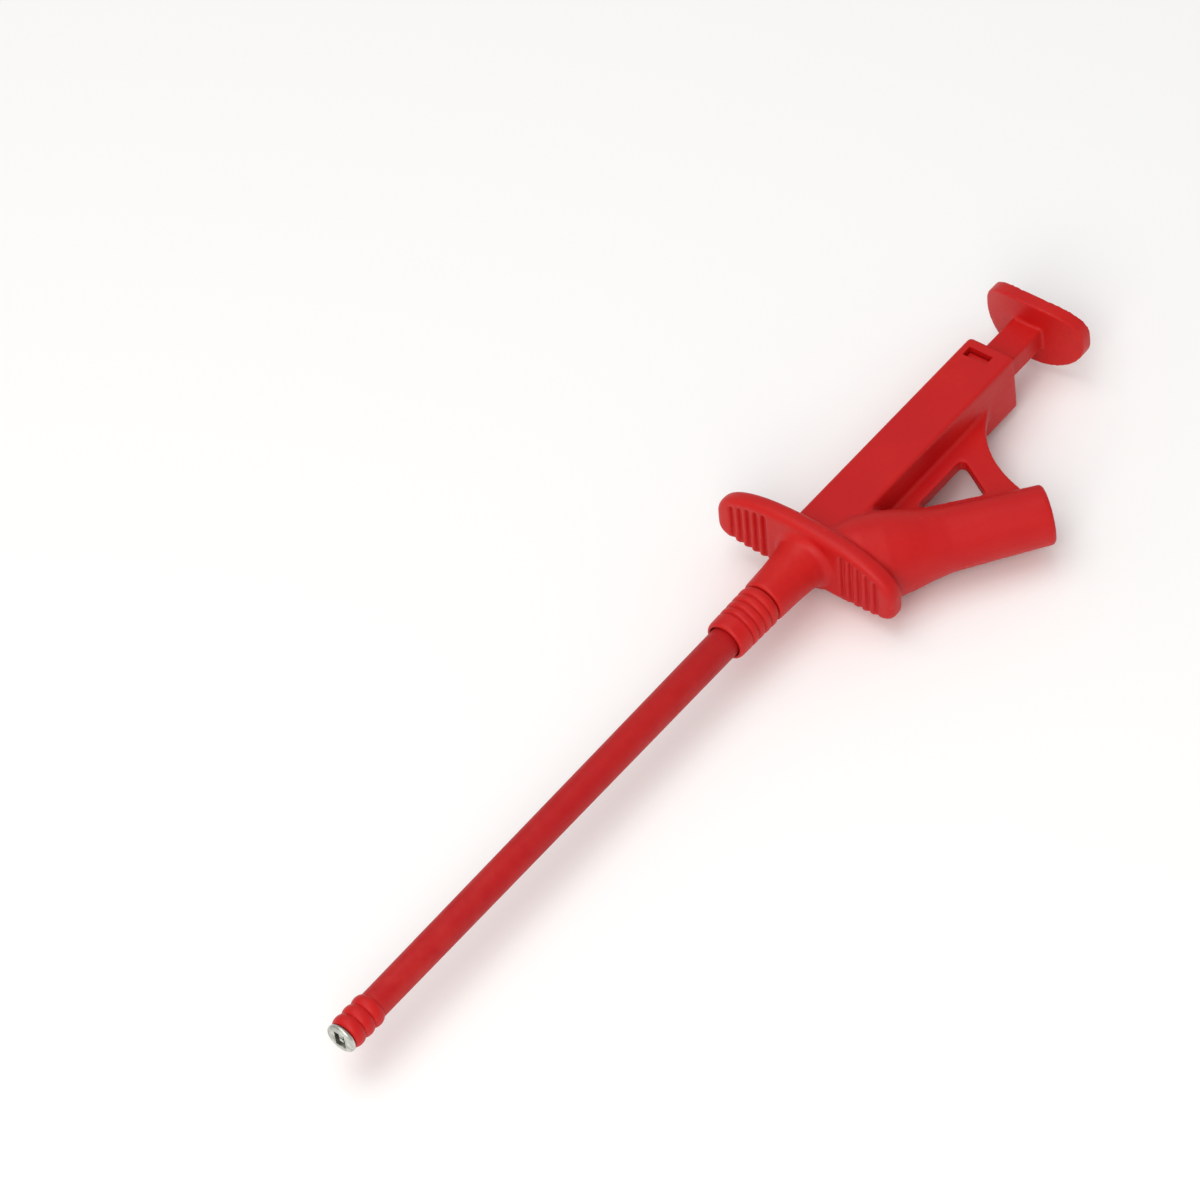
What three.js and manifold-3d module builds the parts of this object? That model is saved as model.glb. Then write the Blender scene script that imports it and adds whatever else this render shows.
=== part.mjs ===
// Plunger test clip with a flexible insulated shaft and two spring jaws behind the tip.
// The shaft axis runs along X, the tip at -X and the thumb head at +X. Millimetres, +Z up.
import * as THREE from 'three';
import { mergeVertices } from 'three/addons/utils/BufferGeometryUtils.js';
import Module from 'manifold-3d';

const wasm = await Module();
wasm.setup();

// Overall layout, measured along the shaft from the tip face.
const LENGTH = 160;
const MIDDLE_X = 79.74;
const AXIS_HEIGHT = 7.8;
const AXIS_SIDE = 5.505;

// Guard plate.
const GUARD_X = 103.5;
const GUARD_THICK = 3;
const GUARD_HALF_LONG = 15.2;
const GUARD_UP = 6;
const GUARD_DOWN = 4.67;
const GUARD_UP_EXPONENT = 2.17;
const GUARD_DOWN_EXPONENT = 6;
const GUARD_SHIFT = 0.27;
const GUARD_TILT = 0.05;
const GRIP_GROOVES = 5;
const GRIP_PITCH = 1.42;
const GRIP_FIRST = 6.8;
const GRIP_WIDTH = 0.8;
const GRIP_DEPTH = 0.5;

// Barrel.
const BARREL_END = 147.3;
const BARREL_HALF_Y = 3.9;
const BARREL_TOP = 3.5;
const BARREL_BOTTOM = 6.4;
const BARREL_ROUND = 1;
const CAVITY_START = 109.5;
const CAVITY_HALF_Y = 2.75;
const CAVITY_TOP = 2.2;
const CAVITY_BOTTOM = 3;
const LATCH_X = 144.7;
const LATCH_Y = 0.65;

// Nose, collar and shaft.
const NOSE_START = 92.3;
const NOSE_R = 3.35;
const COLLAR_START = 83.6;
const COLLAR_END = 92;
const COLLAR_R = 3.1;
const COLLAR_BORE = 2.62;
const SHAFT_TIP_R = 2.12;
const SHAFT_REAR_R = 2.42;
const SHAFT_BORE = 1.62;
const TIP_SLEEVE_END = 6.7;
const BULGE_R = 2.42;
const BULGE_PITCH = 2.1;

// Socket boss, slanting back and sideways from the guard.
const BOSS_ANGLE = THREE.MathUtils.degToRad(38.25);
const BOSS_END_X = 128.57;
const BOSS_END_Y = -22.9;
const BOSS_R = 4.35;
const WEB_DROP = 1.4;
const WEB_TOP = -1.1;
const WEB_BOTTOM = -3.1;
const SOCKET_DEPTH = 20;
const SOCKET_WALL_R = 3.6;
const SOCKET_BORE = 2;

// Plunger and its travel.
const STEM_HALF_Y = 2.5;
const STEM_TOP = 1.1;
const STEM_BOTTOM = 2.7;
const HEAD_HALF_LONG = 8.5;
const HEAD_HALF_WIDE = 5.65;
const HEAD_EXPONENT = 2.4;
const HEAD_DROP = 0.57;
const HEAD_FRONT = 156.5;
const HEAD_HOLLOW = 2.1;
const HEAD_SWEEP = 21.5;

// Jaws.
const JAW_PIN_X = 14;
const JAW_HALF_THICK = 0.35;

const SEGMENTS = 32;
const group = new THREE.Group();

const RED = 0xc8282a;
const DARK_RED = 0xb02527;
const STEEL = 0xb9bcc0;
const NICKEL = 0xd2d6d2;
const BRASS = 0xc2a15a;

function addPiece(name, geometry, colour, roughness, metalness) {
  const placed = geometry.clone();
  placed.translate(-MIDDLE_X, AXIS_SIDE, AXIS_HEIGHT);
  const material = new THREE.MeshStandardMaterial({ color: colour, roughness, metalness });
  const mesh = new THREE.Mesh(placed, material);
  mesh.name = name;
  group.add(mesh);
}

function solid(geometry) {
  let plain = geometry.index ? geometry.clone() : geometry;
  plain.deleteAttribute('normal');
  plain.deleteAttribute('uv');
  plain = mergeVertices(plain, 1e-4);
  const corners = [];
  for (let i = 0; i < plain.index.count; i += 3) {
    const [a, b, c] = plain.index.array.slice(i, i + 3);
    if (a !== b && b !== c && c !== a) {
      corners.push(a, b, c);
    }
  }
  const mesh = new wasm.Mesh({
    numProp: 3,
    vertProperties: new Float32Array(plain.attributes.position.array),
    triVerts: new Uint32Array(corners),
  });
  return new wasm.Manifold(mesh);
}

function geometryOf(manifold) {
  const mesh = manifold.getMesh();
  const geometry = new THREE.BufferGeometry();
  geometry.setAttribute('position', new THREE.BufferAttribute(new Float32Array(mesh.vertProperties), 3));
  geometry.setIndex(new THREE.BufferAttribute(new Uint32Array(mesh.triVerts), 1));
  geometry.computeVertexNormals();
  return geometry;
}

function box(x0, x1, y0, y1, z0, z1) {
  const geometry = new THREE.BoxGeometry(x1 - x0, y1 - y0, z1 - z0);
  geometry.translate((x0 + x1) / 2, (y0 + y1) / 2, (z0 + z1) / 2);
  return geometry;
}

// Turned piece about the X axis from [x, radius] pairs.
function turned(profile, segments = SEGMENTS) {
  const points = profile.map(([x, r]) => new THREE.Vector2(r, x));
  const geometry = new THREE.LatheGeometry(points, segments);
  geometry.rotateZ(-Math.PI / 2);
  return geometry;
}

// Solid rod from x0 to x1, as a turned piece closed on its axis.
function rod(x0, x1, r, segments = SEGMENTS) {
  return turned([[x0, 0], [x0, r], [x1, r], [x1, 0]], segments);
}

// Tube from x0 to x1 between two radii, its profile closing on itself.
function tube(x0, x1, inner, outer, segments = SEGMENTS) {
  return turned([[x0, inner], [x0, outer], [x1, outer], [x1, inner], [x0, inner]], segments);
}

// Plate drawn in Y and Z, given a thickness along X between x0 and x1.
function plateAcross(shape, x0, x1, bevel, segments = 24) {
  const geometry = new THREE.ExtrudeGeometry(shape, {
    depth: x1 - x0 - 2 * bevel,
    bevelEnabled: bevel > 0,
    bevelThickness: bevel,
    bevelSize: bevel,
    bevelOffset: -bevel,
    bevelSegments: 3,
    curveSegments: segments,
  });
  geometry.rotateX(Math.PI / 2);
  geometry.rotateZ(Math.PI / 2);
  geometry.translate(x0 + bevel, 0, 0);
  return geometry;
}

// Plate drawn in X and Y, given a thickness along Z between z0 and z1.
function plateUp(shape, z0, z1) {
  const settings = { depth: z1 - z0, bevelEnabled: false, curveSegments: 12 };
  const geometry = new THREE.ExtrudeGeometry(shape, settings);
  geometry.translate(0, 0, z0);
  return geometry;
}

function roundedRectangle(halfA, halfB, r) {
  const shape = new THREE.Shape();
  shape.moveTo(-halfA + r, -halfB);
  shape.lineTo(halfA - r, -halfB);
  shape.absarc(halfA - r, -halfB + r, r, -Math.PI / 2, 0);
  shape.lineTo(halfA, halfB - r);
  shape.absarc(halfA - r, halfB - r, r, 0, Math.PI / 2);
  shape.lineTo(-halfA + r, halfB);
  shape.absarc(-halfA + r, halfB - r, r, Math.PI / 2, Math.PI);
  shape.lineTo(-halfA, -halfB + r);
  shape.absarc(-halfA + r, -halfB + r, r, Math.PI, 1.5 * Math.PI);
  return shape;
}

// Oval of half length halfA, reaching up and down by different amounts. A higher exponent makes a
// fuller curve. Its corners are spaced evenly by angle from the middle.
function ovalShape(halfA, up, down, upExponent, downExponent, count) {
  const points = [];
  for (let i = 0; i < count; i += 1) {
    const angle = (2 * Math.PI * i) / count;
    const c = Math.cos(angle);
    const s = Math.sin(angle);
    const half = s > 0 ? up : down;
    const exponent = s > 0 ? upExponent : downExponent;
    const reach = (Math.abs(c / halfA) ** exponent + Math.abs(s / half) ** exponent) ** (-1 / exponent);
    points.push(new THREE.Vector2(reach * c, reach * s));
  }
  return new THREE.Shape(points);
}

// Turned piece on the boss axis; distances are measured inward from the boss mouth.
function onBoss(geometry) {
  const placed = geometry.clone();
  placed.rotateZ(Math.PI - BOSS_ANGLE);
  placed.translate(BOSS_END_X, BOSS_END_Y, -WEB_DROP);
  return placed;
}

// Housing: the nose, guard plate, barrel, socket boss and strut are one moulding.
const nose = turned([
  [NOSE_START, 0], [NOSE_START, NOSE_R - 0.15], [NOSE_START + 0.2, NOSE_R], [96.5, 3.5], [99.5, 3.75],
  [101.2, 4.1], [102, 4.9], [102.6, 6], [106, 6], [106, 0],
]);
const guardShape = ovalShape(
  GUARD_HALF_LONG, GUARD_UP, GUARD_DOWN, GUARD_UP_EXPONENT, GUARD_DOWN_EXPONENT, 96,
);
const guard = plateAcross(guardShape, GUARD_X - GUARD_THICK / 2, GUARD_X + GUARD_THICK / 2, 1.1);
guard.rotateX(GUARD_TILT);
guard.translate(0, GUARD_SHIFT, 0);
const barrelMiddle = (BARREL_TOP - BARREL_BOTTOM) / 2;
const barrelHalfZ = (BARREL_TOP + BARREL_BOTTOM) / 2;
const barrelShape = roundedRectangle(BARREL_HALF_Y, barrelHalfZ, BARREL_ROUND);
const barrel = plateAcross(barrelShape, GUARD_X, BARREL_END, 0.4, 4);
barrel.translate(0, 0, barrelMiddle);
const bossBody = onBoss(turned([
  [0, 0], [0, BOSS_R - 0.3], [0.3, BOSS_R], [8, 4.5], [15, 4.7], [18, 5.2],
  [21, 5.9], [24, 6.3], [31, 6.4], [34, 0],
]));
const behindGuard = box(GUARD_X, BARREL_END, -40, 6, -20, 20);
const bossCut = solid(bossBody).intersect(solid(behindGuard));

// Web between barrel and boss, pierced by a rounded triangular hole.
const webShape = new THREE.Shape();
webShape.moveTo(106, -3);
webShape.lineTo(141.2, -3);
webShape.lineTo(141.2, -3.8);
webShape.quadraticCurveTo(132, -7.2, 130, -18.5);
webShape.lineTo(112, -12);
webShape.lineTo(106, -12);
const web = plateUp(webShape, WEB_BOTTOM, WEB_TOP);
const triangle = new THREE.Shape();
triangle.moveTo(120.3, -6.5);
triangle.lineTo(129.6, -6.5);
triangle.quadraticCurveTo(130.6, -6.5, 130.2, -7.4);
triangle.lineTo(127.4, -12.4);
triangle.quadraticCurveTo(127, -13.6, 126.3, -12.9);
triangle.lineTo(120.1, -7.5);
triangle.quadraticCurveTo(119, -6.5, 120.3, -6.5);
const webHole = plateUp(triangle, WEB_BOTTOM - 1, WEB_TOP + 1);

let housing = solid(nose);
for (const part of [guard, barrel, web]) {
  housing = housing.add(solid(part));
}
housing = housing.add(bossCut);
const reliefs = [
  webHole,
  box(CAVITY_START, BARREL_END + 1, -CAVITY_HALF_Y, CAVITY_HALF_Y, -CAVITY_BOTTOM, CAVITY_TOP),
  box(LATCH_X - 0.9, LATCH_X + 0.9, LATCH_Y - 2.05, LATCH_Y + 2.05, 0, BARREL_TOP + 1),
  rod(NOSE_START - 1, 103.4, 2.62),
  rod(103, CAVITY_START + 1, 1),
  onBoss(rod(-1, SOCKET_DEPTH, SOCKET_WALL_R)),
  onBoss(rod(SOCKET_DEPTH - 1, 31.6, 0.85, 16)),
];
for (let i = 0; i < GRIP_GROOVES; i += 1) {
  const y = GRIP_FIRST + i * GRIP_PITCH;
  const front = GUARD_X - GUARD_THICK / 2;
  const nearEnd = (y / GUARD_HALF_LONG) ** GUARD_UP_EXPONENT;
  const arch = GUARD_UP * (1 - nearEnd) ** (1 / GUARD_UP_EXPONENT);
  for (const side of [-1, 1]) {
    const y0 = side * y - GRIP_WIDTH / 2;
    const groove = box(front - 1, front + GRIP_DEPTH, y0, y0 + GRIP_WIDTH, -10, arch - 1.3);
    groove.rotateX(GUARD_TILT);
    groove.translate(0, GUARD_SHIFT, 0);
    reliefs.push(groove);
  }
}
for (const cut of reliefs) {
  housing = housing.subtract(solid(cut));
}
addPiece('housing', geometryOf(housing), RED, 0.5, 0);

// Retainer: snapped into the latch window, it keeps the plunger in the barrel.
const plateHalf = CAVITY_HALF_Y - 0.2;
const retainerPlate = box(138, 147, -plateHalf, plateHalf, STEM_TOP + 0.25, CAVITY_TOP - 0.2);
const retainerTab = box(
  LATCH_X - 0.6, LATCH_X + 0.6, LATCH_Y - 1.8, LATCH_Y + 1.8, STEM_TOP + 0.3, BARREL_TOP - 0.7,
);
addPiece('retainer', geometryOf(solid(retainerPlate).add(solid(retainerTab))), DARK_RED, 0.5, 0);

// Plunger: a flat stem in the barrel with a saddle-shaped thumb head.
const stem = box(124.5, HEAD_FRONT + 1, -STEM_HALF_Y, STEM_HALF_Y, -STEM_BOTTOM, STEM_TOP);
const shoulder = box(124.5, 137.5, -STEM_HALF_Y, STEM_HALF_Y, -STEM_BOTTOM, CAVITY_TOP - 0.25);
const headShape = ovalShape(
  HEAD_HALF_LONG, HEAD_HALF_WIDE, HEAD_HALF_WIDE, HEAD_EXPONENT, HEAD_EXPONENT, 72,
);
const head = plateAcross(headShape, HEAD_FRONT - 0.8, LENGTH, 1.5);
head.translate(0, 0, -HEAD_DROP);
const drum = (radius, x) => {
  const geometry = new THREE.CylinderGeometry(radius, radius, 30, 96);
  geometry.rotateX(Math.PI / 2);
  geometry.translate(x + radius, 0, 0);
  return solid(geometry);
};
let plunger = solid(head).intersect(drum(HEAD_SWEEP, HEAD_FRONT - 0.8));
plunger = plunger.subtract(drum(HEAD_SWEEP, LENGTH - HEAD_HOLLOW));
plunger = plunger.add(solid(stem)).add(solid(shoulder));
plunger = plunger.subtract(solid(rod(123, 131, 1.3)));
addPiece('plunger', geometryOf(plunger), RED, 0.45, 0);

// Return spring between the seat washer and the front of the plunger.
class Helix extends THREE.Curve {
  constructor(x0, x1, r, turns) {
    super();
    this.x0 = x0;
    this.x1 = x1;
    this.r = r;
    this.turns = turns;
  }

  getPoint(t, target = new THREE.Vector3()) {
    const angle = 2 * Math.PI * this.turns * t;
    const x = this.x0 + (this.x1 - this.x0) * t;
    return target.set(x, this.r * Math.cos(angle), this.r * Math.sin(angle));
  }
}
const wire = new THREE.Shape();
wire.absarc(0, 0, 0.2, 0, 2 * Math.PI);
const springPath = new Helix(111.1, 124.2, 1.6, 8);
const spring = new THREE.ExtrudeGeometry(wire, { steps: 128, curveSegments: 3, extrudePath: springPath });
addPiece('return_spring', spring, STEEL, 0.3, 1);
addPiece('spring_seat', tube(109.7, 110.5, 0.85, 2.1), STEEL, 0.35, 1);

// Pull cable, gripped by a crimp in the plunger and by the jaw carrier at the tip.
addPiece('pull_cable', rod(16.2, 129.5, 0.4, 12), STEEL, 0.35, 1);
addPiece('cable_crimp', tube(125, 129.8, 0.45, 1.2), BRASS, 0.35, 1);

// Fixed conductor: a close-wound conduit from the anchor bush to the tip ferrule.
addPiece('conduit', tube(21, 102.2, 0.98, 1.42, 20), STEEL, 0.35, 1);
addPiece('liner_tube', tube(22, 108.6, 0.55, 0.8, 16), 0xe6e4da, 0.4, 0);
addPiece('anchor_bush', tube(96.8, 103, 1.5, 2.3), BRASS, 0.35, 1);

// Insulating sleeve over the conduit, wider towards the handle.
addPiece('shaft_sleeve', turned([
  [7, SHAFT_BORE], [7, SHAFT_TIP_R], [96.4, SHAFT_REAR_R], [96.4, SHAFT_BORE], [7, SHAFT_BORE],
]), DARK_RED, 0.55, 0);

// Collar: four narrow ribs behind a wider front band.
const collarProfile = [
  [COLLAR_START, COLLAR_BORE], [COLLAR_START, COLLAR_R - 0.45], [COLLAR_START + 0.5, COLLAR_R],
];
const ribStart = 86;
const ribPitch = 1.38;
for (let i = 0; i < 4; i += 1) {
  const x = ribStart + i * ribPitch;
  const r = COLLAR_R + 0.04 * (i + 1);
  collarProfile.push([x - 0.15, r], [x + 0.08, r - 0.28], [x + 0.3, r - 0.28], [x + 0.55, r]);
}
collarProfile.push([COLLAR_END - 0.15, 3.28], [COLLAR_END, 3.15], [COLLAR_END, COLLAR_BORE]);
collarProfile.push([COLLAR_START, COLLAR_BORE]);
addPiece('collar', turned(collarProfile), RED, 0.5, 0);

// Tip sleeve with three rounded rings.
const tipProfile = [[0.9, 1.75]];
for (let i = 0; i < 3; i += 1) {
  const x = 1.05 + i * BULGE_PITCH;
  tipProfile.push([x - 0.1, BULGE_R - 0.14], [x + 0.25, BULGE_R]);
  tipProfile.push([x + 0.65, BULGE_R - 0.05], [x + 1.35, SHAFT_TIP_R - 0.02]);
}
tipProfile.push([TIP_SLEEVE_END, SHAFT_TIP_R], [TIP_SLEEVE_END, 1.75], [0.9, 1.75]);
addPiece('tip_sleeve', turned(tipProfile), RED, 0.5, 0);

// Tip ferrule: a flanged tube whose slotted end face guides the jaws.
const ferruleBody = turned([
  [0, 0], [0, 2], [0.15, 2.25], [0.35, 2.35], [0.7, 2.35], [0.7, 1.5], [20.6, 1.5], [20.6, 0],
]);
let ferrule = solid(ferruleBody).subtract(solid(rod(1.2, 21, 1.22)));
ferrule = ferrule.subtract(solid(box(-1, 1.5, -0.85, 0.85, -1.25, 1.25)));
addPiece('tip_ferrule', geometryOf(ferrule), NICKEL, 0.25, 1);

// Jaw carrier, a fork crimped on the cable, with the pin that both jaws turn on.
let carrier = solid(rod(12.6, 17.6, 1.05, 24));
carrier = carrier.subtract(solid(box(12, 15.4, -0.42, 0.42, -1.2, 1.2)));
carrier = carrier.subtract(solid(rod(15.9, 18, 0.47, 12)));
const pinAcross = (r, y0, y1) => {
  const pin = new THREE.CylinderGeometry(r, r, y1 - y0, 16);
  pin.translate(JAW_PIN_X, (y0 + y1) / 2, 0);
  return pin;
};
carrier = carrier.subtract(solid(pinAcross(0.29, -2, 2)));
addPiece('jaw_carrier', geometryOf(carrier), BRASS, 0.35, 1);
addPiece('jaw_pin', pinAcross(0.24, -0.95, 0.95), STEEL, 0.3, 1);

// Each jaw is a flat blade with a hooked tip and a half-thick eye on the pin.
function jaw(side) {
  const outline = new THREE.Shape();
  outline.moveTo(0.3, side * 0.1);
  outline.lineTo(11.8, side * 0.1);
  outline.lineTo(12.6, -side * 0.3);
  outline.lineTo(13.6, -side * 0.6);
  outline.lineTo(14.6, -side * 0.4);
  outline.lineTo(14.7, side * 0.3);
  outline.lineTo(14.1, side * 0.65);
  outline.lineTo(12.4, side * 0.75);
  outline.lineTo(2.4, side * 0.6);
  outline.lineTo(1.9, side * 0.95);
  outline.lineTo(0.7, side * 0.95);
  outline.lineTo(0.3, side * 0.7);
  const blade = new THREE.ExtrudeGeometry(outline, { depth: 2 * JAW_HALF_THICK, bevelEnabled: false });
  blade.rotateX(Math.PI / 2);
  blade.translate(0, JAW_HALF_THICK, 0);
  const away = side > 0 ? box(12, 15, -1, 0.03, -1, 1) : box(12, 15, -0.03, 1, -1, 1);
  return solid(blade).subtract(solid(away)).subtract(solid(pinAcross(0.28, -2, 2)));
}
addPiece('jaw_upper', geometryOf(jaw(1)), NICKEL, 0.25, 1);
addPiece('jaw_lower', geometryOf(jaw(-1)), NICKEL, 0.25, 1);

// Recessed test-lead socket: an insulator, a contact sleeve and a link rod to the bush.
const insulator = turned([
  [1.5, 2.36], [1.5, 2.75], [SOCKET_DEPTH - 2, 2.75], [SOCKET_DEPTH - 2, 3.35], [SOCKET_DEPTH - 0.3, 3.35],
  [SOCKET_DEPTH - 0.3, 2.36], [1.5, 2.36],
]);
addPiece('socket_insert', onBoss(insulator), DARK_RED, 0.5, 0);
const contact = turned([
  [2, SOCKET_BORE], [2, 2.3], [SOCKET_DEPTH - 0.5, 2.3], [SOCKET_DEPTH - 0.5, 0], [SOCKET_DEPTH - 2, 0],
  [SOCKET_DEPTH - 2, SOCKET_BORE], [2, SOCKET_BORE],
]);
addPiece('socket_contact', onBoss(contact), NICKEL, 0.25, 1);
addPiece('link_rod', onBoss(rod(SOCKET_DEPTH - 0.3, 31.2, 0.6, 12)), BRASS, 0.35, 1);

export default group;
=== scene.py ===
import math

import bpy
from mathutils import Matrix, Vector


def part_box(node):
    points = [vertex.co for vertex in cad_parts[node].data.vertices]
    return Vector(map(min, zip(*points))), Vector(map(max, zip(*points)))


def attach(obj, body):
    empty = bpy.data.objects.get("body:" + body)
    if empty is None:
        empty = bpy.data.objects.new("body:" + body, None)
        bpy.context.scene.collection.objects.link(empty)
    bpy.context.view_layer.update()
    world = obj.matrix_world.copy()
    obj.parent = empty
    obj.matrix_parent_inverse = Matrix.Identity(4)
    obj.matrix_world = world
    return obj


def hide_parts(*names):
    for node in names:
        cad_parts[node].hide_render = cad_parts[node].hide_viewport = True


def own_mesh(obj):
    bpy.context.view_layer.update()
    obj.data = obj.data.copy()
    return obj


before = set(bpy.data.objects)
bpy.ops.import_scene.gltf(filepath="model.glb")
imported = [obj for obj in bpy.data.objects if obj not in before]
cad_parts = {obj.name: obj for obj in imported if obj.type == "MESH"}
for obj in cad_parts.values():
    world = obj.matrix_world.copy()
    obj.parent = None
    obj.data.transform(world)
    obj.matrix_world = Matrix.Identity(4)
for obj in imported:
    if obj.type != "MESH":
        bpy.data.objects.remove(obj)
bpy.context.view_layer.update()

# The view, the floor and the light.
# A long lens looks down on the clip from the tip end. The floor is plain matt card under a
# broad overhead softbox, with a second one from the tip end and pale walls all round.
CAMERA_PLACE = (-0.40260, -0.37300, 0.61991)
CAMERA_TURNS = (42.455, 5.907, -51.793)
LENS, SENSOR = 179.3, 36
FLOOR_WIDTH, FLOOR_LEVEL = 6, -0.0002
ROOM_LIGHT = 0.5

scene = bpy.context.scene
bpy.ops.object.select_all(action="DESELECT")
bpy.ops.object.camera_add(
    location=CAMERA_PLACE, rotation=[math.radians(turn) for turn in CAMERA_TURNS]
)
camera = bpy.context.active_object
camera.name = "camera"
camera.data.lens = LENS
camera.data.sensor_width = SENSOR
camera.data.clip_start = 0.01
scene.camera = camera

bpy.ops.mesh.primitive_plane_add(size=FLOOR_WIDTH, location=(0, 0, FLOOR_LEVEL))
floor = bpy.context.active_object
floor.name = "floor"
card = bpy.data.materials.new("pale_card")
card.use_nodes = True
card_shader = card.node_tree.nodes["Principled BSDF"]
card_shader.inputs["Base Color"].default_value = (0.96, 0.96, 0.96, 1)
card_shader.inputs["Roughness"].default_value = 0.9
card_shader.inputs["Specular IOR Level"].default_value = 0.1
floor.data.materials.append(card)


def softbox(name, place, size, watts, tint):
    """A rectangular soft light that faces the clip."""
    bpy.ops.object.light_add(type="AREA", location=place)
    light = bpy.context.active_object
    light.name = name
    light.rotation_euler = (-Vector(place)).to_track_quat("-Z", "Y").to_euler()
    light.data.shape = "RECTANGLE"
    light.data.size, light.data.size_y = size
    light.data.energy = watts
    light.data.color = tint


softbox("softbox_over", (-0.1, 0.15, 0.8), (0.8, 0.6), 2.6, (1, 0.99, 0.98))
softbox("softbox_front", (-0.55, -0.28, 0.5), (0.5, 0.5), 2.9, (1, 0.98, 0.93))
scene.world = bpy.data.worlds.new("pale_room")
scene.world.use_nodes = True
room = scene.world.node_tree.nodes["Background"]
room.inputs["Color"].default_value = (1, 1, 1, 1)
room.inputs["Strength"].default_value = ROOM_LIGHT
scene.view_settings.view_transform = "Standard"

# Housing.
# One nylon moulding in signal red: nose, finger guard, flat barrel, slanted lead-socket boss and
# the thin web between them. It comes out of a two-part mould with soft fillets, fine
# spark-eroded grain and slightly polished edges.

# Sizes from here on are in millimetres, X from the tip face and Y and Z from the shaft axis.
MM = 0.001
tip_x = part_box("tip_ferrule")[0][0]
shaft_low, shaft_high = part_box("shaft_sleeve")
axis_y = (shaft_low[1] + shaft_high[1]) / 2
axis_z = (shaft_low[2] + shaft_high[2]) / 2


def take_up(piece):
    """Makes a piece the only one selected, and the one worked on."""
    bpy.ops.object.select_all(action="DESELECT")
    piece.select_set(True)
    bpy.context.view_layer.objects.active = piece


def edit(piece, mode="VERT"):
    take_up(piece)
    bpy.ops.object.mode_set(mode="EDIT")
    bpy.ops.mesh.select_mode(type=mode)


def trace(name, points):
    """A wire drawn point to point, by extruding one vertex, and left in edit mode."""
    bpy.ops.object.select_all(action="DESELECT")
    bpy.ops.mesh.primitive_plane_add(size=1, location=points[0])
    piece = bpy.context.active_object
    piece.name = name
    edit(piece)
    bpy.ops.mesh.select_all(action="SELECT")
    bpy.ops.mesh.merge(type="CENTER")
    for last, point in zip(points, points[1:]):
        step = Vector(point) - Vector(last)
        bpy.ops.mesh.extrude_region_move(TRANSFORM_OT_translate={"value": step})
    return piece


def close_outline(thickness):
    """Fills a traced outline and draws it out into a plate, still in edit mode."""
    bpy.ops.mesh.select_all(action="SELECT")
    bpy.ops.mesh.remove_doubles(threshold=0.0005)
    bpy.ops.mesh.edge_face_add()
    bpy.ops.mesh.extrude_region_move(TRANSFORM_OT_translate={"value": thickness})


def tidy_mesh():
    """Merges what meets, drops slivers, turns the faces outwards and leaves edit mode."""
    bpy.ops.mesh.select_all(action="SELECT")
    bpy.ops.mesh.remove_doubles(threshold=0.0005)
    bpy.ops.mesh.dissolve_degenerate(threshold=0.0002)
    bpy.ops.mesh.normals_make_consistent(inside=False)
    bpy.ops.object.mode_set(mode="OBJECT")


def spun(name, profile, steps=96, start=(0, 0, 0), along=(1, 0, 0), across=(0, 0, 1)):
    """A turned piece from (distance, radius) pairs about the line from start."""
    start, along, across = Vector(start), Vector(along), Vector(across)
    piece = trace(name, [start + along * d + across * r for d, r in profile])
    bpy.ops.mesh.select_all(action="SELECT")
    bpy.ops.mesh.spin(steps=steps, angle=math.tau, center=start, axis=along)
    tidy_mesh()
    return piece


# The nose flares from the collar up to the guard.
nose = spun("nose", [
    (92.3, 0), (92.3, 3.2), (92.5, 3.35), (96.5, 3.5), (99.5, 3.75), (101.2, 4.1), (102, 4.9),
    (102.6, 6), (104, 6), (104, 0),
])


def apply(piece, kind, **settings):
    """Adds a modifier with these settings and applies it at once."""
    take_up(piece)
    modifier = piece.modifiers.new(kind.lower(), kind)
    for key, value in settings.items():
        setattr(modifier, key, value)
    bpy.ops.object.modifier_apply(modifier=modifier.name)


def combine(piece, tool, operation):
    """Cuts a piece with a tool, or adds it, or keeps what both hold. The tool is used up."""
    apply(piece, "BOOLEAN", object=tool, operation=operation, solver="MANIFOLD")
    bpy.data.objects.remove(tool)


def cut(piece, *tools):
    for tool in tools:
        combine(piece, tool, "DIFFERENCE")


def oval(name, x0, x1, half_y, upper, lower, middle_z=0, rounding=0):
    """A plate across the shaft, its upper and lower curves given by height and fullness."""
    points = []
    for degrees in range(0, 360, 2):
        c, s = math.cos(math.radians(degrees)), math.sin(math.radians(degrees))
        height, fullness = upper if s > 0 else lower
        reach = (abs(c / half_y) ** fullness + abs(s / height) ** fullness) ** (-1 / fullness)
        points.append((x0, reach * c, middle_z + reach * s))
    piece = trace(name, points + points[:1])
    close_outline((x1 - x0, 0, 0))
    tidy_mesh()
    if rounding:
        apply(piece, "BEVEL", width=rounding, segments=4, angle_limit=math.radians(50))
    return piece


def block(name, low, high, rounding=0, segments=3):
    """A block between two corners, its edges rounded."""
    bpy.ops.object.select_all(action="DESELECT")
    middle = [(a + b) / 2 for a, b in zip(low, high)]
    size = [b - a for a, b in zip(low, high)]
    bpy.ops.mesh.primitive_cube_add(size=1, location=middle, scale=size)
    piece = bpy.context.active_object
    piece.name = name
    bpy.ops.object.transform_apply(location=True, rotation=True, scale=True)
    if rounding:
        edit(piece, "EDGE")
        bpy.ops.mesh.select_all(action="SELECT")
        bpy.ops.mesh.bevel(offset=rounding, segments=segments)
        bpy.ops.object.mode_set(mode="OBJECT")
    return piece


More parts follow.
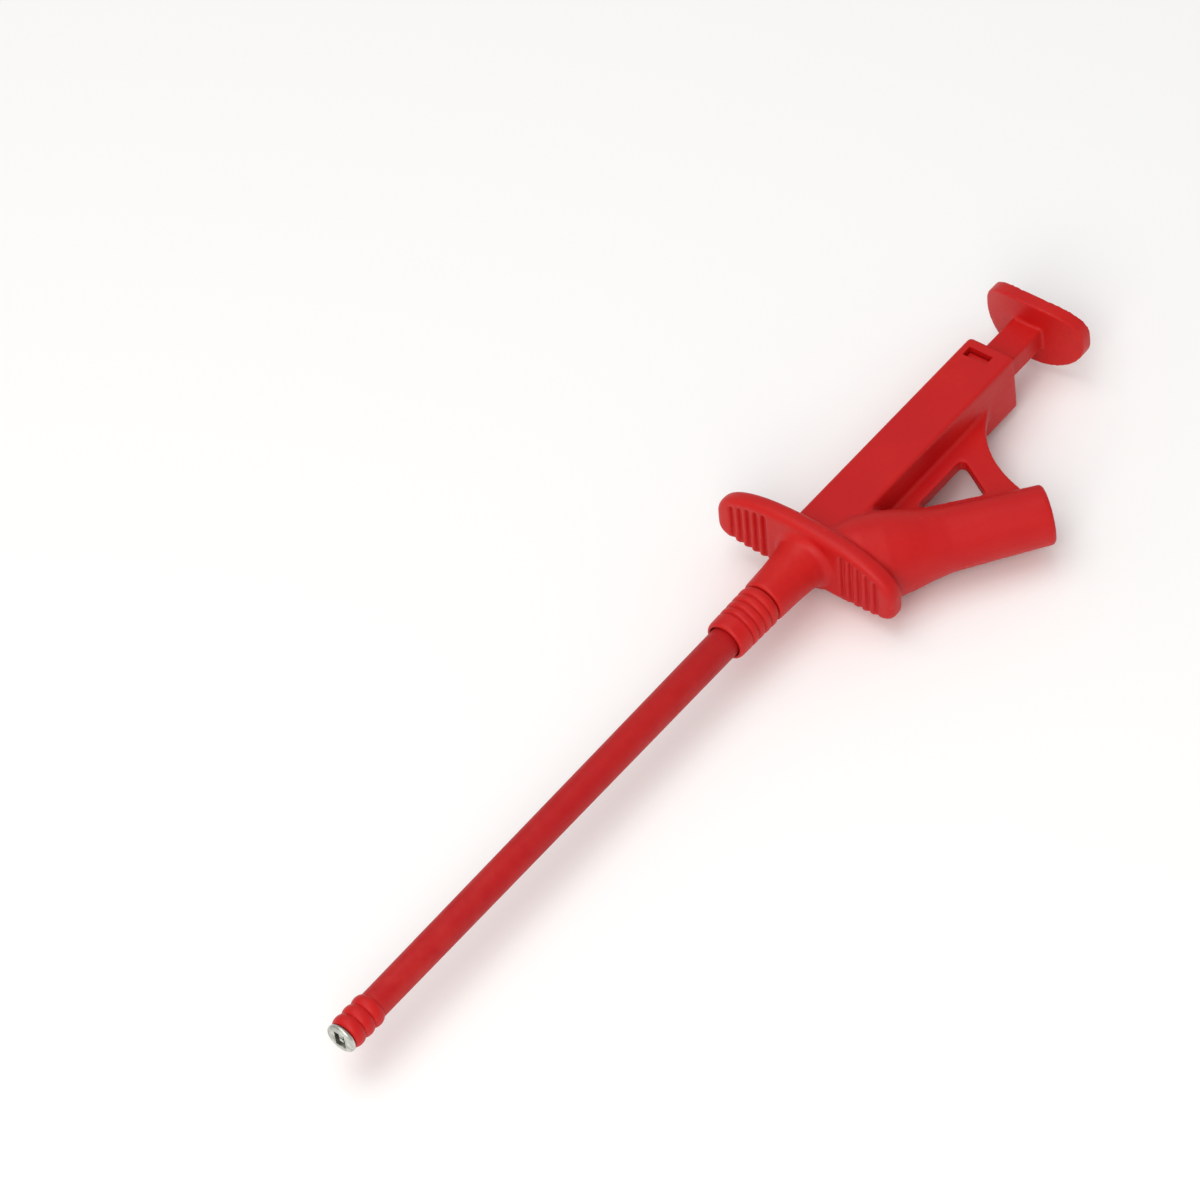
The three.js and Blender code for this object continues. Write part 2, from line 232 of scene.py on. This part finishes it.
# The guard is arched above and flatter below, with a row of grip grooves in each wing's front.
# Each groove runs out at the lower rim and stops short of the arch. The whole guard is turned a
# little on the shaft.
GUARD_FRONT, GUARD_BACK = 102, 105
GUARD_HALF = 15.45
ARCH_HEIGHT, ARCH_FULLNESS = 6.25, 2.2
FOOT_HEIGHT, FOOT_FULLNESS = 4.95, 5.5
GUARD_RIM = 1.1
GUARD_TURN, GUARD_SHIFT = 0.05, 0.27
GROOVES, FIRST_GROOVE, GROOVE_PITCH = 5, 6.8, 1.42
GROOVE_HALF, GROOVE_DEPTH, GROOVE_TO_ARCH = 0.36, 0.75, 1.2
guard = oval(
    "guard", GUARD_FRONT, GUARD_BACK, GUARD_HALF, (ARCH_HEIGHT, ARCH_FULLNESS),
    (FOOT_HEIGHT, FOOT_FULLNESS), rounding=GUARD_RIM,
)
for side in (-1, 1):
    for row in range(GROOVES):
        y = FIRST_GROOVE + GROOVE_PITCH * row
        arch = ARCH_HEIGHT * (1 - (y / GUARD_HALF) ** ARCH_FULLNESS) ** (1 / ARCH_FULLNESS)
        low = (GUARD_FRONT - 1, side * y - GROOVE_HALF, -10)
        high = (GUARD_FRONT + GROOVE_DEPTH, side * y + GROOVE_HALF, arch - GROOVE_TO_ARCH)
        cut(guard, block("groove", low, high, 0.28, 2))
bpy.ops.object.transform_apply(location=True, rotation=True, scale=True)
guard.rotation_euler = (GUARD_TURN, 0, 0)
guard.location = (0, GUARD_SHIFT, 0)

# The barrel is a plain rectangular box.
BARREL_START, BARREL_END = 103.5, 147.4
BARREL_HALF, BARREL_FOOT, BARREL_TOP = 3.98, -6.55, 3.55
barrel = block(
    "barrel", (BARREL_START, -BARREL_HALF, BARREL_FOOT), (BARREL_END, BARREL_HALF, BARREL_TOP), 0.55
)

# The boss leans back and to one side of the shaft. Its far end is sawn off behind the guard.
LEAN = math.radians(38.25)
MOUTH = (128.57, -22.9, -1.4)
INWARD = (-math.cos(LEAN), math.sin(LEAN), 0)
BOSS_FRONT = 103.6
boss = spun("boss", [
    (0, 0), (0, 4.05), (0.3, 4.35), (8, 4.5), (15, 4.7), (18, 5.2), (21, 5.9), (24, 6.35),
    (27.5, 6.4), (31, 5.7), (34, 0),
], 96, MOUTH, INWARD)
edit(boss)
bpy.ops.mesh.select_all(action="SELECT")
bpy.ops.mesh.bisect(
    plane_co=(BOSS_FRONT, 0, 0), plane_no=(1, 0, 0), clear_inner=True, use_fill=True
)
tidy_mesh()


def slab(name, outline, z0, z1):
    """A plate cut to an outline in X and Y, standing from z0 to z1."""
    points = [(x, y, z0) for x, y in outline]
    piece = trace(name, points + points[:1])
    close_outline((0, 0, z1 - z0))
    tidy_mesh()
    return piece


# The web ties boss and barrel together. Its free edge is a hollow curve, and a three-cornered
# hole goes through it.
WEB_FOOT, WEB_TOP = -3.1, -1.1
free_edge = []
for i in range(17):
    t = i / 16
    x = 141.2 * (1 - t) ** 2 + 2 * 132 * t * (1 - t) + 130 * t ** 2
    y = -3.8 * (1 - t) ** 2 - 2 * 7.2 * t * (1 - t) - 18.5 * t ** 2
    free_edge.append((x, y))
web = slab(
    "web", [(106, -3), (141.2, -3), *free_edge, (112, -12), (106, -12)], WEB_FOOT, WEB_TOP
)
cut(web, slab("web_hole", [
    (120.3, -6.5), (129.6, -6.5), (130.2, -6.75), (130.2, -7.4), (127.4, -12.4), (127, -13.1),
    (126.3, -12.9), (120.1, -7.5), (119.7, -6.8),
], -6, 1))


def fuse(piece, others, voxel, rounds):
    """Joins the pieces into one skin and softens its corners into moulded fillets."""
    take_up(piece)
    for other in others:
        other.select_set(True)
    bpy.ops.object.join()
    apply(piece, "REMESH", mode="VOXEL", voxel_size=voxel, adaptivity=0)
    apply(piece, "SMOOTH", factor=0.5, iterations=rounds)


# All five become one skin, and then the cores are drawn: the plunger's channel, the latch
# window, the bore for the shaft's end and the stepped bore for the socket.
housing = nose
fuse(housing, [guard, barrel, boss, web], 0.24, 7)
housing.name = "housing_moulding"
cut(
    housing,
    block("barrel_bore", (109.5, -2.75, -3), (148.3, 2.75, 2.2)),
    block("latch_window", (143.8, -1.4, 0), (145.6, 2.7, 4.5)),
    spun("nose_bore", [
        (91, 0), (91, 2.62), (103.4, 2.62), (103.4, 1), (110, 1), (110, 0),
    ], 48),
    spun("socket_bore", [
        (-1, 0), (-1, 3.6), (20, 3.6), (20, 0.85), (31.6, 0.85), (31.6, 0),
    ], 64, MOUTH, INWARD),
)


def put_in_frame(piece, angle=35):
    """Turns millimetres from the tip into the frame's metres, and smooths the shading."""
    take_up(piece)
    bpy.ops.object.transform_apply(location=True, rotation=True, scale=True)
    piece.scale = (MM, MM, MM)
    piece.location = (tip_x, axis_y, axis_z)
    bpy.ops.object.transform_apply(location=True, rotation=True, scale=True)
    bpy.ops.object.shade_smooth_by_angle(angle=math.radians(angle))


def coat(piece, material):
    """Gives a piece one finish all over."""
    piece.data.materials.clear()
    piece.data.materials.append(material)


def moulded_plastic(name, colour, deep, worn, roughness, seam_z=None):
    """Pigmented plastic: slow colour drift, spark-eroded grain, hairline scuffs, rubbed edges,
    and where two mould halves meet at seam_z, a hair-thin parting line."""
    material = bpy.data.materials.new(name)
    material.use_nodes = True
    nodes, links = material.node_tree.nodes, material.node_tree.links
    shader = nodes["Principled BSDF"]
    shader.inputs["Specular IOR Level"].default_value = 0.27
    where = nodes.new("ShaderNodeTexCoord").outputs["Object"]

    def noise(scale, detail, stretch=(1, 1, 1)):
        turn = nodes.new("ShaderNodeMapping")
        turn.inputs["Scale"].default_value = stretch
        links.new(where, turn.inputs["Vector"])
        node = nodes.new("ShaderNodeTexNoise")
        node.inputs["Scale"].default_value = scale
        node.inputs["Detail"].default_value = detail
        links.new(turn.outputs["Vector"], node.inputs["Vector"])
        return node.outputs["Fac"]

    def span(value, low, high, to_low=0.0, to_high=1.0):
        node = nodes.new("ShaderNodeMapRange")
        node.inputs["From Min"].default_value = low
        node.inputs["From Max"].default_value = high
        node.inputs["To Min"].default_value = to_low
        node.inputs["To Max"].default_value = to_high
        links.new(value, node.inputs["Value"])
        return node.outputs["Result"]

    def blend_colours(amount, first, second):
        node = nodes.new("ShaderNodeMix")
        node.data_type = "RGBA"
        links.new(amount, node.inputs[0])
        for value, socket in ((first, node.inputs[6]), (second, node.inputs[7])):
            if isinstance(value, tuple):
                socket.default_value = (*value, 1)
            else:
                links.new(value, socket)
        return node.outputs[2]

    def reckon(first, second, kind="ADD"):
        node = nodes.new("ShaderNodeMath")
        node.operation = kind
        links.new(first, node.inputs[0])
        if isinstance(second, float):
            node.inputs[1].default_value = second
        else:
            links.new(second, node.inputs[1])
        return node.outputs[0]

    # Colour: a slow drift and a fine mottle towards the deeper shade, paler on rubbed edges.
    drift = span(noise(70, 3), 0.35, 0.7)
    mottle = span(noise(1300, 5), 0.35, 0.7, 0, 0.55)
    body = blend_colours(drift, colour, deep)
    body = blend_colours(mottle, body, deep)
    edges = nodes.new("ShaderNodeNewGeometry").outputs["Pointiness"]
    rubbed = reckon(span(edges, 0.52, 0.6), span(noise(400, 5), 0.35, 0.65), "MULTIPLY")
    rubbed = reckon(rubbed, 0.4, "MULTIPLY")
    links.new(blend_colours(rubbed, body, worn), shader.inputs["Base Color"])

    # Shine: satin patches, duller where it is scuffed along its length.
    scuffs = span(noise(300, 8, (1, 14, 9)), 0.56, 0.62)
    satin = span(noise(220, 4), 0.3, 0.7, roughness - 0.05, roughness + 0.06)
    links.new(reckon(satin, reckon(scuffs, 0.05, "MULTIPLY")), shader.inputs["Roughness"])

    # Relief: grain, scuffs and parting line on top of a faint sink in the thick walls.
    grain = nodes.new("ShaderNodeBump")
    grain.inputs["Strength"].default_value = 0.14
    grain.inputs["Distance"].default_value = 0.00006
    height = reckon(noise(6500, 3), reckon(scuffs, 0.15, "MULTIPLY"))
    if seam_z is not None:
        split = nodes.new("ShaderNodeSeparateXYZ")
        links.new(where, split.inputs[0])
        off = reckon(reckon(split.outputs["Z"], -float(seam_z)), 0.0, "ABSOLUTE")
        height = reckon(height, span(off, 0.00004, 0.00009, 2.2, 0))
    links.new(height, grain.inputs["Height"])
    sink = nodes.new("ShaderNodeBump")
    sink.inputs["Strength"].default_value = 0.25
    sink.inputs["Distance"].default_value = 0.0003
    links.new(noise(110, 2), sink.inputs["Height"])
    links.new(sink.outputs["Normal"], grain.inputs["Normal"])
    links.new(grain.outputs["Normal"], shader.inputs["Normal"])
    return material


put_in_frame(housing)
red = moulded_plastic(
    "signal_red_nylon", (0.56, 0.009, 0.006), (0.50, 0.004, 0.006), (0.68, 0.035, 0.022), 0.45,
    seam_z=axis_z - 1.4 * MM,
)
coat(housing, red)
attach(housing, "handle")
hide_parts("housing")

# Plunger.
# The same nylon in a second moulding: a flat stem that slides in the barrel, and a thumb head
# swept back at both ends so that the thumb sits in its hollow.
HEAD_FRONT, HEAD_BACK = 155.7, 157.9
HEAD_HALF, HEAD_CURVE, HEAD_DROP = 8.5, (5.65, 2.4), -0.57
SWEEP = 21.5
STEM_START, STEM_HALF, STEM_FOOT = 124.5, 2.5, -2.7
ends = []
for i in range(-12, 13):
    y = HEAD_HALF * (i / 12)
    ends.append((SWEEP - math.sqrt(SWEEP ** 2 - y ** 2), y))
front_edge = [(HEAD_FRONT + x, y) for x, y in ends]
back_edge = [(HEAD_BACK + x, y) for x, y in reversed(ends)]
head = slab("thumb_head", front_edge + back_edge, -6.4, 5.6)
combine(
    head, oval("head_outline", 150, 165, HEAD_HALF, HEAD_CURVE, HEAD_CURVE, HEAD_DROP), "INTERSECT"
)
apply(head, "BEVEL", width=0.8, segments=3, angle_limit=math.radians(40))
stem_corner = (STEM_START, -STEM_HALF, STEM_FOOT)
stem = block("stem", stem_corner, (156.7, STEM_HALF, 1.1), 0.35)
shoulder = block("shoulder", stem_corner, (137.5, STEM_HALF, 1.95), 0.35)
plunger = head
fuse(plunger, [stem, shoulder], 0.2, 6)
plunger.name = "plunger_moulding"
cut(plunger, spun("cable_hole", [(123, 0), (123, 1.3), (131, 1.3), (131, 0)], 32))
put_in_frame(plunger)
coat(plunger, red)
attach(plunger, "plunger_set")
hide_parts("plunger")

# Retainer.
# A small plate in the same plastic that snaps up into the latch window and stops the plunger.
retainer = block("retainer_plate", (138, -2.5, 1.35), (147, 2.5, 1.98), 0.12, 2)
combine(retainer, block("tab", (144.1, -1.15, 1.5), (145.3, 2.45, 2.8), 0.15, 2), "UNION")
put_in_frame(retainer)
coat(retainer, red)
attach(retainer, "handle")
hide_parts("retainer")

# Collar.
# A separate ring in the housing's plastic that holds the shaft to the nose: a plain band with a
# rounded lip, then four ribs, and a thin gap between the last rib and the nose.
RIBS, FIRST_RIB, RIB_PITCH = 4, 86, 1.38
RIB_RADIUS, RIB_GROWTH = 3.2, 0.025
profile = [(83.6, 2.62), (83.6, 2.85), (83.72, 3.02), (83.95, 3.12), (84.3, 3.16), (85.9, 3.2)]
for rib in range(RIBS):
    x = FIRST_RIB + RIB_PITCH * rib
    r = RIB_RADIUS + RIB_GROWTH * rib
    profile += [(x, r - 0.08), (x + 0.08, r - 0.28), (x + 0.3, r - 0.3), (x + 0.42, r - 0.12)]
    profile += [(x + 0.58, r), (x + 0.95, r + 0.03), (x + 1.3, r + 0.01)]
profile += [(91.52, 3.22), (91.6, 3.05), (92, 3.02), (92, 2.62), (83.6, 2.62)]
collar = spun("collar_ring", profile)
put_in_frame(collar)
coat(collar, red)
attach(collar, "handle")
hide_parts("collar")

# Shaft sleeve.
# Flexible insulation, slightly tapered, drawn over the steel conduit. It is drier and darker
# than the mouldings.
shaft = spun("shaft_insulation", [
    (6.75, 1.62), (6.75, 2.12), (52, 2.27), (96.3, 2.42), (96.4, 2.36), (96.4, 1.62), (6.75, 1.62),
], 64)
put_in_frame(shaft)
sleeve_red = moulded_plastic(
    "sleeve_red", (0.47, 0.006, 0.006), (0.41, 0.003, 0.006), (0.56, 0.03, 0.025), 0.55
)
coat(shaft, sleeve_red)
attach(shaft, "handle")
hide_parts("shaft_sleeve")

# Tip sleeve.
# A short moulded insulator with three rounded rings for the finger to feel, pushed on behind
# the metal tip.
RINGS, RING_START, RING_PITCH = 3, 0.95, 1.93
RING_FOOT, RING_HEIGHT, RING_ROUNDNESS = 2.1, 0.4, 0.55
profile = [(0.9, 1.62), (0.9, RING_FOOT)]
for ring in range(RINGS):
    for step in range(15):
        t = step / 14
        rise = RING_HEIGHT * math.sin(math.pi * t) ** RING_ROUNDNESS
        profile.append((RING_START + RING_PITCH * (ring + t), RING_FOOT + rise))
profile += [(6.74, RING_FOOT), (6.74, 1.62), (0.9, 1.62)]
tip_sleeve = spun("tip_insulator", profile)
put_in_frame(tip_sleeve)
coat(tip_sleeve, red)
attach(tip_sleeve, "handle")
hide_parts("tip_sleeve")


# Tip ferrule, jaws and their carrier.
# Nickel-plated brass: a flanged tube with a slotted face, two hooked jaws that part when they
# leave the slot, and the fork and pin that carry them.
def plated_metal(name, colour, dull, roughness):
    """Plated or drawn metal: faint tarnish patches, duller where tarnished, and a fine bump."""
    material = bpy.data.materials.new(name)
    material.use_nodes = True
    nodes, links = material.node_tree.nodes, material.node_tree.links
    shader = nodes["Principled BSDF"]
    shader.inputs["Metallic"].default_value = 1
    where = nodes.new("ShaderNodeTexCoord").outputs["Object"]
    stains = nodes.new("ShaderNodeTexNoise")
    stains.inputs["Scale"].default_value = 900
    stains.inputs["Detail"].default_value = 5
    links.new(where, stains.inputs["Vector"])
    tone = nodes.new("ShaderNodeValToRGB")
    tone.color_ramp.elements[0].position = 0.35
    tone.color_ramp.elements[0].color = (*dull, 1)
    tone.color_ramp.elements[1].position = 0.6
    tone.color_ramp.elements[1].color = (*colour, 1)
    links.new(stains.outputs["Fac"], tone.inputs["Fac"])
    links.new(tone.outputs["Color"], shader.inputs["Base Color"])
    rough = nodes.new("ShaderNodeMapRange")
    rough.inputs["To Min"].default_value = roughness + 0.12
    rough.inputs["To Max"].default_value = roughness - 0.05
    links.new(stains.outputs["Fac"], rough.inputs["Value"])
    links.new(rough.outputs["Result"], shader.inputs["Roughness"])
    marks = nodes.new("ShaderNodeTexNoise")
    marks.inputs["Scale"].default_value = 9000
    marks.inputs["Detail"].default_value = 2
    links.new(where, marks.inputs["Vector"])
    bump = nodes.new("ShaderNodeBump")
    bump.inputs["Strength"].default_value = 0.15
    bump.inputs["Distance"].default_value = 0.00002
    links.new(marks.outputs["Fac"], bump.inputs["Height"])
    links.new(bump.outputs["Normal"], shader.inputs["Normal"])
    return material


SLOT_HALF_WIDTH, SLOT_HALF_HEIGHT = 0.85, 1.25
ferrule = spun("tip_cap", [
    (0, 1.22), (0, 1.95), (0.04, 2.12), (0.15, 2.24), (0.35, 2.3), (0.56, 2.26), (0.68, 2.14),
    (0.74, 2.0), (0.74, 1.5), (20.6, 1.5), (20.6, 1.22), (0, 1.22),
])
combine(ferrule, spun("cap_face", [(0.02, 0), (0.02, 1.3), (0.7, 1.3), (0.7, 0)]), "UNION")
cut(ferrule, block(
    "cap_slot", (-1, -SLOT_HALF_WIDTH, -SLOT_HALF_HEIGHT), (1.5, SLOT_HALF_WIDTH, SLOT_HALF_HEIGHT)
))
put_in_frame(ferrule)
nickel = plated_metal("bright_nickel", (0.62, 0.64, 0.59), (0.38, 0.38, 0.34), 0.34)
coat(ferrule, nickel)
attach(ferrule, "handle")
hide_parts("tip_ferrule")

for node in ("jaw_upper", "jaw_lower", "jaw_carrier", "jaw_pin"):
    coat(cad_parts[node], nickel)

# Return spring.
# Music-wire compression spring, eight coils, standing between the seat washer and the plunger.
# On the real clip it closes up as the plunger goes in; here it is built at one length.
COILS, COIL_PITCH, COIL_RADIUS, WIRE_RADIUS = 8, 1.62, 1.6, 0.2
SPRING_START = 111.15
bpy.ops.object.select_all(action="DESELECT")
bpy.ops.mesh.primitive_circle_add(
    vertices=10, radius=WIRE_RADIUS, fill_type="NOTHING", location=(SPRING_START, 0, COIL_RADIUS),
    rotation=(math.pi / 2, 0, 0),
)
spring = bpy.context.active_object
spring.name = "spring_coil"
bpy.ops.object.transform_apply(location=True, rotation=True, scale=True)
apply(
    spring, "SCREW", axis="X", angle=math.tau, screw_offset=COIL_PITCH, iterations=COILS, steps=36,
    render_steps=36, use_normal_calculate=True, use_merge_vertices=True,
)
edit(spring, "EDGE")
bpy.ops.mesh.select_all(action="DESELECT")
bpy.ops.mesh.select_non_manifold()
bpy.ops.mesh.edge_face_add()
tidy_mesh()
put_in_frame(spring, 60)
steel = plated_metal("spring_steel", (0.55, 0.56, 0.58), (0.3, 0.3, 0.31), 0.3)
coat(spring, steel)
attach(spring, "handle")
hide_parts("return_spring")
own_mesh(spring)

# Inner parts.
# Cable, conduit and seat washer in steel, the crimp, bush, rod and socket contact in turned
# brass, and the socket's insulator and the cable's liner in nylon. They stay as the frame has them.
brass = plated_metal("turned_brass", (0.68, 0.5, 0.22), (0.42, 0.28, 0.1), 0.3)
inner = moulded_plastic(
    "inner_nylon", (0.40, 0.008, 0.01), (0.32, 0.006, 0.008), (0.46, 0.03, 0.03), 0.45
)
for names, finish in (
    (("pull_cable", "conduit", "spring_seat"), steel),
    (("cable_crimp", "anchor_bush", "link_rod", "socket_contact"), brass),
    (("socket_insert", "liner_tube"), inner),
):
    for node in names:
        coat(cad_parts[node], finish)
